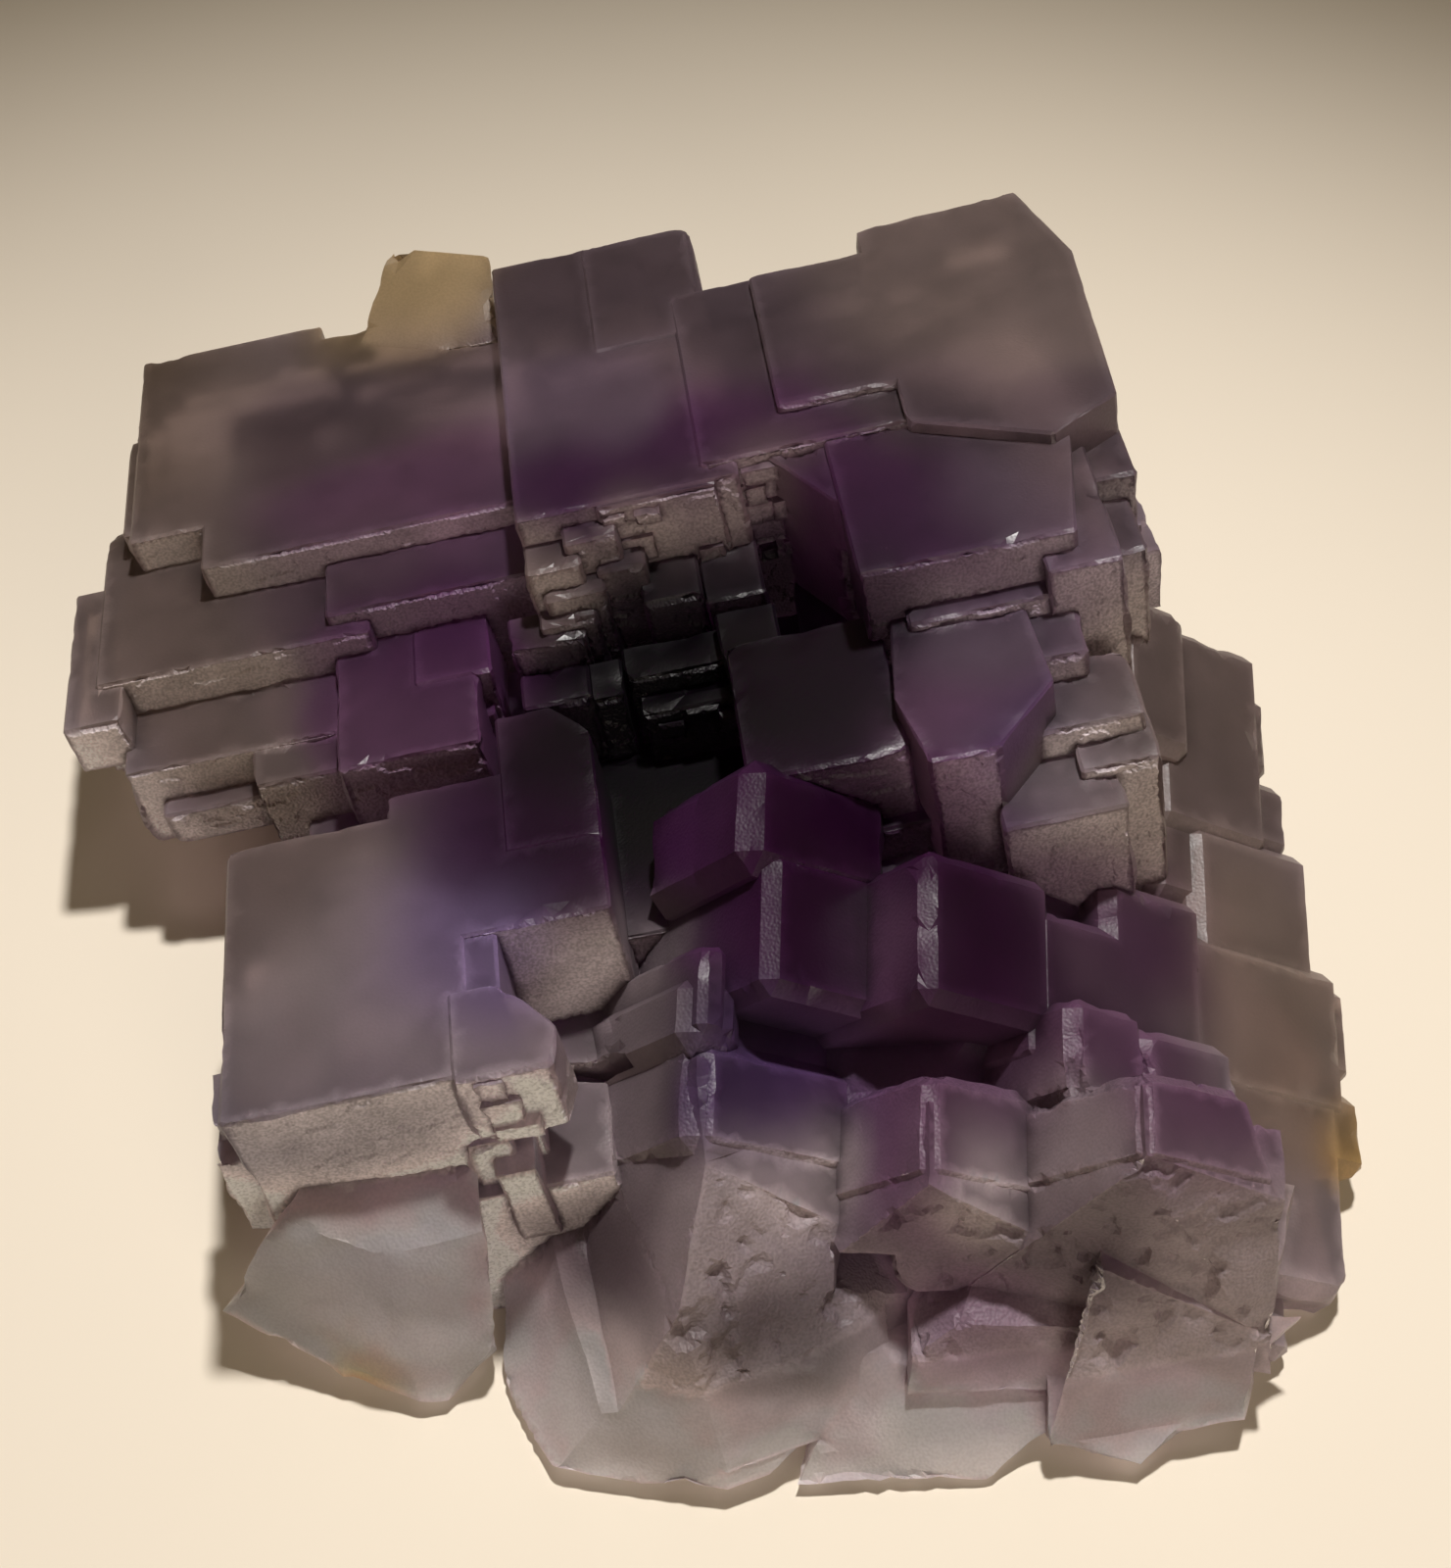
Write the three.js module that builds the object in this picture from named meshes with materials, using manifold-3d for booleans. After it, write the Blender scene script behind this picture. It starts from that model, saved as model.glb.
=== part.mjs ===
// A hand-sized cluster of purple fluorite: cubes of two growth directions, grown through each other.
import * as THREE from "three";
import { ConvexGeometry } from "three/addons/geometries/ConvexGeometry.js";
import { mergeVertices } from "three/addons/utils/BufferGeometryUtils.js";
import Module from "manifold-3d";

// Driving dimensions, in millimetres and degrees
const TERRACE_TURN = { yaw: 7, pitch: -5.5, roll: -9 }; // cubes that lie nearly flat, in steps
const RIDGE_TURN = { yaw: -2, pitch: 14.5, roll: 34 }; // cubes that stand on edge, as ridges
const TERRACE_BEVEL = 0.2; // sharp edge of a terrace cube, just broken
const RIDGE_BEVEL = 0.9; // broader, bright edge of a ridge cube
const TABLE_SIZE = 200; // side of the block that cuts the resting face flat
const PLATE_ROOT = 1.2; // how deep a riser's small plates are rooted
const WALL_CUBE = [2.6, 8]; // sides of the small cubes that cover the hidden walls
const WALL_ROOT = 3; // how deep those cubes are rooted
const WALL_PROUD = [0.4, 2.6]; // how far they stand out of the wall
const WALL_OVERLOOK = 1.5; // each cube stays this many times its stand-out below the wall's top edge
const PLATE_PROUD = [0.15, 0.75]; // how far they stand out of the riser
const PLATE_WIDTH = [1.2, 3.2];
const PLATE_HEIGHT = [0.9, 2.2];
const PLATE_SMALLEST = [0.6, 0.4]; // narrower or lower plates are left out
const PLATE_START = [0, 1]; // each row of plates starts this far in
const PLATE_GAP = [0, 0.5]; // between two plates of a row
const PLATE_ROW_GAP = [0, 0.3]; // between two rows
const PLATE_SHARE = 0.62; // share of the plates that stand out
const GROWTH_SEED = 20; // picks one arrangement of plates and wall cubes
const SAME_POINT = 1e-4; // points closer than this are one
const ON_FACET = 1e-3; // a corner this close to a facet lies on it
const PARALLEL = 1e-3; // three facets flatter than this have no corner

const CRYSTAL = { color: 0x5a4a68, roughness: 0.45, metalness: 0 };

// Terrace cubes: across runs to the right, deep to the back, high up from root to top face
const TERRACE_CUBES = {
  upperLeft: [
    { across: [-36.5, -22], deep: [25, 46.8], high: [16.5, 28] },
    { across: [-31, -7], deep: [20.4, 45], high: [11, 28] },
    { across: [-37.4, -30], deep: [27, 38], high: [17.5, 27.2] },
    { across: [-39.5, -19.5], deep: [13.6, 30.4], high: [15, 25] },
    { across: [-41.7, -37.5], deep: [10, 24.4], high: [20.4, 24.7] },
    { across: [-22.5, -7.5], deep: [14.8, 23], high: [8, 26] },
    { across: [-38.3, -22.5], deep: [7.6, 15], high: [14.6, 21.7] },
    { across: [-29, -20], deep: [4.2, 10], high: [12.5, 21.4] },
    { across: [-36.4, -27.5], deep: [6, 12], high: [15.4, 18.6] },
  ],
  purpleBlock: [
    { across: [-22.6, -12.6], deep: [2.5, 15.5], high: [6, 23] },
    { across: [-17, -11.5], deep: [9, 16.5], high: [6, 23.2] },
  ],
  upperMiddle: [
    { across: [-7.5, 8], deep: [13.4, 43.4], high: [6, 32] },
    { across: [-2, 6.5], deep: [13, 30], high: [6, 31.8] },
    { across: [5.5, 21], deep: [14.8, 34.6], high: [6, 32.3] },
    { across: [-0.5, 7.6], deep: [30, 43.2], high: [9, 32.2] },
  ],
  tallCorner: [
    { across: [11.5, 22], deep: [18.4, 34], high: [6, 33] },
    {
      outline: [[19.8, 14], [28.8, 9.6], [33.7, 12.3], [34.4, 28.7], [32, 37.4], [19.8, 36.8]],
      high: [7, 33],
    },
    { outline: [[14.2, 1.1], [28.4, 1.1], [30, 10], [29, 20], [14, 20]], high: [9, 32] },
    { across: [26, 31], deep: [-0.6, 11], high: [9, 30.4] },
    { across: [29, 33.2], deep: [3, 15], high: [9, 27.5] },
    { across: [30.5, 33.8], deep: [8, 24], high: [8, 29.6] },
  ],
  lilacBlock: [
    {
      outline: [[14.8, -6], [16, -11.8], [20.4, -11.8], [24.8, -7.2], [24.3, 2], [15.8, 2]],
      high: [9, 27.5],
    },
    { across: [16.8, 26.8], deep: [-0.4, 3], high: [9, 28.2] },
    { across: [24, 27.6], deep: [-4.4, 2], high: [9, 26.6] },
    { across: [23, 30.2], deep: [-8.6, -2.6], high: [8, 24.4] },
    { across: [19.8, 27.8], deep: [-13.8, -6], high: [7, 22] },
    { across: [25.4, 30.6], deep: [-11, -2], high: [7, 22.8] },
    { across: [4.7, 15.2], deep: [-9, 3.6], high: [8, 26] },
    { outline: [[9.8, 15.6], [15, 15.6], [15, 8.6], [13.8, 9.2]], high: [9, 31.6] },
  ],
  darkCore: [
    { across: [-7.5, -3.6], deep: [10.6, 14], high: [12, 29.6] },
    { across: [-4.6, -0.8], deep: [11.6, 14], high: [12, 30.6] },
    { across: [-6.6, -2.4], deep: [9.8, 13], high: [12, 27.6] },
    { across: [-2.8, 0.6], deep: [10.8, 14], high: [12, 28.2] },
    { across: [-7.4, -3.4], deep: [9, 12], high: [12, 26] },
    { across: [-0.2, 4], deep: [9, 15], high: [12, 26.2] },
    { across: [4, 8.2], deep: [8.4, 15], high: [12, 25.7] },
    { across: [-9.8, -4.4], deep: [8, 11.5], high: [12, 25.2] },
    { across: [-9.6, -4.8], deep: [4.6, 9], high: [10, 23] },
    { across: [-4.9, -2.5], deep: [4.2, 8], high: [10, 22.8] },
    { across: [-2.4, 4.8], deep: [5, 8.4], high: [10, 23.2] },
    { across: [-1.8, 5], deep: [3, 6], high: [10, 21.6] },
    { across: [4.4, 8.6], deep: [3.2, 8.2], high: [10, 24.8] },
  ],
  leftBlock: [
    { across: [-29.8, -14.4], deep: [-25.7, -3.7], high: [7, 24] },
    { across: [-19, -5], deep: [-15.1, -1.8], high: [6, 24] },
    { outline: [[-11.4, -9], [-5, -9], [-5, 0.4], [-7.6, 3.3], [-11.4, 3.3]], high: [6, 24.1] },
    { across: [-15.4, -12.4], deep: [-20, -12], high: [7, 23.7] },
    {
      outline: [[-15.6, -26.3], [-9.6, -26.3], [-9, -23.6], [-12.2, -19.4], [-15.6, -19.4]],
      high: [17.9, 24.2],
    },
    { across: [-17.6, -12], deep: [-24.6, -19], high: [8, 19] },
    { across: [-16.6, -13.6], deep: [-26, -22], high: [9, 17] },
    { across: [-15.2, -12.4], deep: [-27.4, -22], high: [8, 15.6] },
    { across: [-30.6, -26], deep: [-22, -8], high: [9, 21] },
  ],
  roots: [
    {
      outline: [[-26, -6], [-20, -12], [19, -12], [24, -4], [25, 22], [19, 31], [-13, 33], [-27, 22]],
      high: [-12, 17],
    },
    { outline: [[-18, -17], [-9, -19], [12, -19], [17, -15], [16, 10], [-20, 10]], high: [-12, 14] },
    { outline: [[-31, 14], [-24, 8], [-12, 8], [-12, 38], [-25, 39], [-31, 31]], high: [6, 20] },
    { outline: [[-12, 16], [27, 16], [28, 30], [21, 36], [-4, 38], [-12, 34]], high: [-4, 24] },
    { outline: [[10, -10], [26, -10], [30, -3], [30, 13], [25, 18], [10, 18]], high: [-12, 20] },
    { outline: [[-26, -20], [-20, -27], [-8, -27], [-8, -4], [-22, -4], [-26, -9]], high: [-6, 13] },
    { outline: [[-6, -28], [0, -32], [22, -32], [26, -26], [26, -8], [-6, -8]], high: [-12, 6] },
  ],
};

// Ridge cubes: across runs down to the right, deep to the back, high out of the smooth top face
const RIDGE_CUBES = {
  middle: [
    { across: [-15.5, -4], deep: [-5.8, 2], high: [13.5, 26], bevel: 1.3 },
    { across: [-13.7, -4], deep: [-13.4, -4], high: [6, 26] },
    { across: [-6.3, 4], deep: [-14, -4], high: [8, 32] },
    { across: [2.4, 17], deep: [-16, -5.8], high: [12, 31.9] },
    { across: [8.4, 17.2], deep: [-8, -2.4], high: [12, 31.9] },
    { across: [2, 9.4], deep: [-8, -2.6], high: [12, 29.2] },
  ],
  rightSlope: [
    { across: [15, 30], deep: [-15, -4.4], high: [17, 31.7] },
    { across: [13, 29.4], deep: [-27, -13], high: [18, 31.5] },
    { across: [16, 25.6], deep: [-31, -24], high: [20, 29.4] },
    { across: [26.6, 31.8], deep: [-18.4, -12.6], high: [21, 31.4] },
    { across: [17, 28.4], deep: [-8, 4], high: [17, 31.2] },
    { across: [18, 27], deep: [3.5, 9], high: [15, 30.9] },
    { across: [18, 25.4], deep: [9, 15.4], high: [15, 31] },
    { across: [24, 31.4], deep: [-12, -5], high: [19, 31] },
    { across: [10, 16.4], deep: [7.6, 18.8], high: [14, 32.6] },
    { across: [14, 24.4], deep: [3, 18.4], high: [15, 31.4] },
    { across: [14, 25], deep: [-2, 12], high: [15, 30.6] },
  ],
  front: [
    { across: [2.7, 9], deep: [-19, -12.2], high: [12, 34.7] },
    { across: [8, 16.2], deep: [-20, -13.2], high: [14, 35.1] },
    { outline: [[2.7, -24.2], [13.8, -24.2], [11.6, -18.1], [2.7, -18.1]], high: [16, 40.6] },
    { across: [-4.8, 4], deep: [-24.4, -17.3], high: [10, 30.3] },
    { across: [-15.6, -3], deep: [-22.8, -15.1], high: [2, 21.4], bevel: 1.3 },
    { across: [-16.6, -12], deep: [-16.6, -11.2], high: [7, 21.8], bevel: 1.3 },
    { across: [-15, -3], deep: [-17, -10.6], high: [4, 20.2] },
    { across: [-15.9, -13.9], deep: [-15.4, -9.6], high: [8, 22.2], bevel: 0.5 },
  ],
};

// Blocks with odd faces: each facet runs through three points (right, back and up from the table)
const ODD_BLOCKS = {
  frontLeftNose: {
    inside: [2, -29, 9],
    facets: [
      [[-1.1, -28.3, 19.3], [7, -29.3, 13.4], [-2.8, -35.7, 13]],
      [[-9.4, -25, 9.4], [-1.1, -28.3, 19.3], [-2.8, -35.7, 13]],
      [[-1.7, -21.2, 21.5], [-1.1, -28.3, 19], [7, -29.3, 13.1]],
      [[-1.4, -21.2, 21.8], [-8.7, -18.3, 11.2], [-9.1, -24.9, 9.2]],
      [[-2.8, -35.7, 13], [10.3, -35.8, 5.6], [0.9, -41.8, 2.2]],
      [[-2.8, -35.7, 13], [-8.5, -39.4, 4.5], [-3.1, -41.4, 2.3]],
      [[10.4, -35.6, 5.1], [9.4, -30, 10.4], [10, -30, 3]],
      [[-10, -30, 3], [10, -30, 3], [0, -36, 3]],
      [[-12, -22.5, 0], [10, -23, 0], [10, -23, 10]],
    ],
  },
  frontLeftRim: {
    inside: [-3, -33, 4],
    facets: [
      [[-9.5, -25.7, 11], [-2.8, -35.7, 13], [-8.5, -39.4, 4.5]],
      [[-2.8, -35.7, 13], [-8.5, -39.4, 4.5], [-3.1, -41.4, 2.3]],
      [[-2.8, -35.7, 12.7], [10.3, -35.8, 5.3], [0.9, -41.8, 1.9]],
      [[-1.1, -28.3, 18.8], [7, -29.3, 12.9], [-2.8, -35.7, 12.5]],
      [[-9, -18.3, 11.2], [-9.4, -24.9, 9.2], [-13, -29, 7]],
      [[-15.4, -27, 6], [-14.6, -34, 3], [-14, -30, 0]],
      [[3.2, -41, 2.4], [9.6, -35.7, 6], [8.5, -32, 0]],
      [[-14, -35, 0.8], [0, -42, 1.8], [0, -28, 0.8]],
      [[-12, -16, 0], [10, -18, 0], [10, -18, 10]],
    ],
  },
  frontMiddleNose: {
    inside: [14, -29, 13],
    facets: [
      [[11.9, -30.9, 20.8], [17.8, -31.6, 16.5], [14.4, -34.3, 13.5]],
      [[11.9, -30.9, 20.8], [6.6, -31.4, 12.6], [12, -32.6, 9]],
      [[12.1, -24.1, 22.3], [11.9, -30.9, 20.5], [17.9, -31.6, 16.2]],
      [[12.4, -24.1, 22.6], [7.5, -22.2, 15.4], [6.6, -30.7, 12.2]],
      [[10.3, -34.4, 12.6], [18.6, -34.1, 11], [14, -29, 6]],
      [[19.6, -34, 10], [20.6, -30, 14], [19.4, -28, 8]],
      [[10, -26, 0], [22, -26.5, 0], [22, -26.5, 10]],
    ],
  },
  frontMiddlePlate: {
    inside: [17, -33, 8],
    facets: [
      [[14.2, -35.2, 10.5], [21.3, -35, 9.5], [15.7, -36.9, 6]],
      [[14.2, -35.2, 10.5], [21.3, -35, 9.5], [18, -30, 11]],
      [[11.6, -36, 8.4], [14.4, -35, 10.7], [13, -30, 8.4]],
      [[24, -35, 8], [24, -30, 8], [23.8, -30, 2]],
      [[11.8, -36.9, 5.4], [19.6, -36.5, 4.8], [16, -30, 3]],
      [[11.4, -37, 7], [11.4, -30, 7], [11.2, -30, 3]],
      [[10, -27, 0], [22, -27, 0], [22, -27, 10]],
    ],
  },
  frontMiddleRim: {
    inside: [13, -36, 4],
    facets: [
      [[9.7, -37.7, 4.3], [19.9, -38.8, 2.6], [12.4, -40.8, 1.2]],
      [[11.8, -36.2, 5.8], [18.2, -36.8, 4.6], [14, -30, 6.6]],
      [[6.4, -40.6, 0.9], [16.6, -41.3, 0.7], [12, -30, 0.5]],
      [[16.6, -41, 1], [20, -38.8, 2.6], [20, -37, 0]],
      [[5.4, -40.2, 2.4], [7.4, -36.5, 4.6], [6.6, -33, 0.6]],
      [[21.4, -38, 4], [22, -30, 4], [21.8, -30, 1]],
      [[6, -26, 0], [22, -26, 0], [22, -26, 10]],
    ],
  },
  frontRightNose: {
    inside: [26, -28, 12],
    facets: [
      [[23.1, -31.8, 25], [33, -31, 19.1], [26.3, -35.2, 14]],
      [[23.1, -31.8, 25], [18.2, -32.4, 16.5], [24, -33.9, 11]],
      [[24, -26.4, 26.3], [31.4, -25.5, 21.4], [33, -31, 18.8]],
      [[24.3, -26.4, 26.6], [18.6, -24.5, 18.2], [18.2, -31.4, 16.1]],
      [[33, -31, 19.1], [33.6, -34, 11], [34.2, -26.4, 10.5]],
      [[18, -30, 5], [34, -30, 5], [26, -36, 5]],
      [[18, -27.5, 0], [34, -27, 0], [34, -27, 10]],
    ],
  },
  frontRightRim: {
    inside: [27, -33, 5],
    facets: [
      [[22, -34.8, 14], [32.8, -35.5, 8.5], [25.5, -38.4, 4.5]],
      [[21.6, -35.4, 15.8], [31.4, -34.7, 10.2], [26, -29, 14.5]],
      [[32.8, -35.5, 8.5], [33.8, -34.4, 3.4], [35.4, -29, 6]],
      [[21.6, -34.9, 14.5], [20.2, -39.4, 4], [24, -30.6, 5.6]],
      [[20.2, -39.2, 2.4], [33, -34.5, 2.2], [26, -29, 1]],
      [[18, -25, 0], [34, -25, 0], [34, -25, 10]],
    ],
  },
  frontRightFoot: {
    inside: [25, -37, 2.2],
    facets: [
      [[21.9, -38.1, 4.4], [28.5, -38, 3.6], [25.9, -40.3, 2]],
      [[20, -38, 1.2], [30, -38, 1.2], [26, -34, 1]],
      [[20.2, -39.2, 2], [25.9, -40.6, 2], [24, -39.6, 0]],
      [[25.9, -40.6, 2], [29.6, -37.4, 2], [28, -38.3, 0]],
      [[20, -33, 0], [30, -33, 0], [30, -33, 4]],
      [[20, -38, 4], [20, -32, 4], [20.2, -32, 0]],
    ],
  },
  lowerLeftLump: {
    inside: [-22, -29, 6],
    facets: [
      [[-27.2, -28, 14], [-16.7, -26.5, 14.6], [-23.7, -32.2, 11.8]],
      [[-28.5, -30.1, 11.4], [-22.1, -31.3, 12.1], [-24.4, -34.7, 2.5]],
      [[-21, -31.8, 11.5], [-20.2, -36.3, 1.7], [-15, -32.6, 7.5]],
      [[-28.6, -29.9, 11], [-31.9, -31.6, 5.1], [-29, -25, 3]],
      [[-31.9, -31.6, 5.1], [-24.4, -34.7, 2.2], [-26, -27, 1.2]],
      [[-24.4, -34.7, 2.2], [-18.2, -36.7, 1.4], [-18, -28, 0.6]],
      [[-18.2, -36.7, 1.4], [-14.4, -34.6, 6], [-13.4, -31, 1]],
      [[-28, -20, 0], [-14, -20, 0], [-14, -20, 10]],
      [[-15.4, -27, 14.3], [-13.8, -36.3, 4.5], [-17, -22.4, 5.5]],
    ],
  },
  paleChip: {
    inside: [-22, 45, 17],
    facets: [
      [[-28, 44, 21], [-26.6, 50.8, 22.8], [-18, 44, 23.6]],
      [[-28, 44, 21], [-26.6, 50.8, 22.8], [-27, 46, 12]],
      [[-26.6, 50.8, 22.8], [-19, 47.8, 23], [-22, 46, 12]],
      [[-18.4, 48, 24], [-17.6, 42, 24], [-18.4, 46, 12]],
      [[-27, 40, 12], [-18, 40, 12], [-20, 46, 13]],
      [[-27, 40, 12], [-18, 40, 12], [-18, 40, 24]],
    ],
  },
};

// Hollows with odd faces, cut out of the grown cluster
const ODD_HOLLOWS = {
  frontHole: {
    inside: [8.6, -31, 10.6],
    facets: [
      [[5.9, -32, 12.6], [10.9, -32, 13.2], [8, -27, 11.6]],
      [[6.4, -33, 9.6], [11, -33.4, 8.2], [8, -27, 8]],
      [[6, -34, 12], [6.6, -32, 9], [7.4, -27, 10]],
      [[11, -34, 12], [11.2, -32, 9], [10, -27, 10]],
      [[6, -27, 12], [11, -27, 12], [8, -27.4, 8]],
      [[4, -40, 16], [12, -40, 16], [8, -40, 4]],
    ],
  },
};

// Slits and pits cut along the axes of each family
const TERRACE_PITS = [{ across: [11.4, 14.2], deep: [6.6, 9.4], high: [19.5, 27] }];
const RIDGE_PITS = [{ across: [-17.4, -14.2], deep: [-16, -15.2], high: [8.4, 14.6] }];

// Rough risers: the upright face that small plates cover, in the terrace axes
const ROUGH_RISERS = [
  { across: [-1.8, 6], deep: 13, high: [25.5, 31.4] },
  { across: [6, 13.4], deep: 14.8, high: [23, 31.8] },
  { across: [-1.8, 4.8], deep: 3, high: [18.8, 21.4] },
  { across: [-15.2, -9.8], deep: -26.3, high: [18.4, 23.8] },
];

// Hidden walls that small cubes cover, in the terrace axes: along runs to the right or to the back
const WALLS = [
  { face: "back", at: 46.8, along: [-35, -23], high: [17, 27], cubes: 6 },
  { face: "back", at: 45, along: [-21, -8], high: [12, 27], cubes: 6 },
  { face: "back", at: 43.2, along: [-6, 7], high: [8, 31], cubes: 8 },
  { face: "back", at: 34.6, along: [8.5, 19.5], high: [4, 30], cubes: 6 },
  { face: "back", at: 36.9, along: [20.5, 31], high: [6, 31], cubes: 7 },
  { face: "left", at: -36.5, along: [28, 45], high: [17, 27], cubes: 6 },
  { face: "left", at: -39.5, along: [15, 29], high: [15, 24], cubes: 5 },
  { face: "left", at: -29.8, along: [-24, -6], high: [8, 23], cubes: 7 },
  { face: "left", at: -27, along: [-3, 20], high: [4, 15], cubes: 8 },
  { face: "right", at: 34.2, along: [14, 27], high: [9, 31], cubes: 6 },
  { face: "right", at: 30, along: [-2, 12], high: [4, 20], cubes: 5 },
];

const wasm = await Module();
wasm.setup();

/** A repeatable run of numbers from 0 to 1. */
function makeRandom(seed) {
  let state = seed;
  return () => {
    state = (state * 1664525 + 1013904223) % 4294967296;
    return state / 4294967296;
  };
}

/** A number between two limits. */
function between([low, high], random) {
  return low + (high - low) * random();
}

/** The turn of a crystal family: rolled, then pitched, then yawed. */
function familyTurn({ yaw, pitch, roll }) {
  const turn = new THREE.Matrix4().makeRotationZ(THREE.MathUtils.degToRad(yaw));
  turn.multiply(new THREE.Matrix4().makeRotationX(THREE.MathUtils.degToRad(pitch)));
  return turn.multiply(new THREE.Matrix4().makeRotationY(THREE.MathUtils.degToRad(roll)));
}

/** A closed geometry as a solid that can be joined and cut. */
function toSolid(geometry) {
  geometry.deleteAttribute("normal");
  geometry.deleteAttribute("uv");
  const merged = mergeVertices(geometry, SAME_POINT);
  const vertProperties = new Float32Array(merged.attributes.position.array);
  const triVerts = new Uint32Array(merged.index.array);
  return new wasm.Manifold(new wasm.Mesh({ numProp: 3, vertProperties, triVerts }));
}

/** The four corners of a cube's footprint, anticlockwise. */
function rectangle([left, right], [front, back]) {
  return [[left, front], [right, front], [right, back], [left, back]];
}

/** A point that lies a given distance from one point towards another. */
function towards([x, y], [toX, toY], distance) {
  const share = distance / Math.hypot(toX - x, toY - y);
  return [x + (toX - x) * share, y + (toY - y) * share];
}

/** A cube or prism on a footprint, with every edge bevelled flat. */
function bevelledPrism(outline, [root, top], bevel) {
  const points = [];
  outline.forEach((corner, i) => {
    const before = outline[(i + outline.length - 1) % outline.length];
    const after = outline[(i + 1) % outline.length];
    const onBefore = towards(corner, before, bevel);
    const onAfter = towards(corner, after, bevel);
    const inner = [onBefore[0] + onAfter[0] - corner[0], onBefore[1] + onAfter[1] - corner[1]];
    points.push(new THREE.Vector3(...inner, root), new THREE.Vector3(...inner, top));
    for (const side of [onBefore, onAfter]) {
      points.push(new THREE.Vector3(...side, root + bevel), new THREE.Vector3(...side, top - bevel));
    }
  });
  return new ConvexGeometry(points);
}

/** All cubes of a family as solids, turned into place. */
function growFamily(groups, turn, usualBevel) {
  return Object.values(groups).flat().map(({ across, deep, outline, high, bevel = usualBevel }) => {
    const footprint = outline ?? rectangle(across, deep);
    return toSolid(bevelledPrism(footprint, high, bevel).applyMatrix4(turn));
  });
}

/** The plane through a facet's three points, facing away from a point inside the block. */
function facetPlane(points, inside) {
  const corners = points.map((point) => new THREE.Vector3(...point));
  const plane = new THREE.Plane().setFromCoplanarPoints(...corners);
  return plane.distanceToPoint(inside) > 0 ? plane.negate() : plane;
}

/** The point where three planes meet, or null where two of them are parallel. */
function meetingPoint(a, b, c) {
  const axes = new THREE.Matrix3().set(...a.normal, ...b.normal, ...c.normal);
  if (Math.abs(axes.determinant()) < PARALLEL) return null;
  return new THREE.Vector3(-a.constant, -b.constant, -c.constant).applyMatrix3(axes.invert());
}

/** A block held by its facets: the hull of every meeting point that no facet cuts off. */
function facetedBlock({ inside, facets }) {
  const middle = new THREE.Vector3(...inside);
  const planes = facets.map((points) => facetPlane(points, middle));
  const corners = [];
  planes.forEach((a, i) => planes.slice(0, i).forEach((b, j) => planes.slice(0, j).forEach((c) => {
    const corner = meetingPoint(a, b, c);
    if (corner && planes.every((plane) => plane.distanceToPoint(corner) < ON_FACET)) corners.push(corner);
  })));
  return new ConvexGeometry(corners);
}

/** Blocks with odd faces as solids. */
function oddSolids(blocks) {
  return Object.values(blocks).map((block) => toSolid(facetedBlock(block)));
}

/** A sharp-edged box along a family's axes. */
function boxSolid({ across, deep, high }, turn) {
  const box = new THREE.BoxGeometry(across[1] - across[0], deep[1] - deep[0], high[1] - high[0]);
  box.translate((across[0] + across[1]) / 2, (deep[0] + deep[1]) / 2, (high[0] + high[1]) / 2);
  return toSolid(box.applyMatrix4(turn));
}

/** Rows of small plates that make a riser rough. */
function growPlates({ across, deep, high }, turn, random) {
  const plates = [];
  let bottom = high[0];
  while (bottom < high[1]) {
    const top = Math.min(bottom + between(PLATE_HEIGHT, random), high[1]);
    let left = across[0] + between(PLATE_START, random);
    while (left < across[1]) {
      const right = Math.min(left + between(PLATE_WIDTH, random), across[1]);
      const front = deep - between(PLATE_PROUD, random);
      const large = right - left > PLATE_SMALLEST[0] && top - bottom > PLATE_SMALLEST[1];
      if (large && random() < PLATE_SHARE) {
        const plate = { across: [left, right], deep: [front, deep + PLATE_ROOT], high: [bottom, top] };
        plates.push(boxSolid(plate, turn));
      }
      left = right + between(PLATE_GAP, random);
    }
    bottom = top + between(PLATE_ROW_GAP, random);
  }
  return plates;
}

/** Small cubes that grow out of a hidden wall, each lower than the wall's top edge. */
function growWall({ face, at, along, high, cubes }, turn, random) {
  return Array.from({ length: cubes }, (_, i) => {
    const middle = along[0] + ((along[1] - along[0]) * (i + random())) / cubes;
    const half = between(WALL_CUBE, random) / 2;
    const proud = between(WALL_PROUD, random);
    const top = between([high[0] + WALL_CUBE[0], high[1] - WALL_OVERLOOK * proud], random);
    const span = [Math.max(middle - half, along[0]), Math.min(middle + half, along[1])];
    const rise = [Math.max(top - between(WALL_CUBE, random), high[0]), top];
    const out = face === "left" ? [at - proud, at + WALL_ROOT] : [at - WALL_ROOT, at + proud];
    const cube = face === "back" ? { across: span, deep: out } : { across: out, deep: span };
    return boxSolid({ ...cube, high: rise }, turn);
  });
}

/** The outer skin alone as a solid, so that gaps sealed between crystals are filled. */
function fillSealedGaps(solid) {
  return solid.decompose().reduce((outer, skin) => (skin.volume() > outer.volume() ? skin : outer));
}

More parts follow.
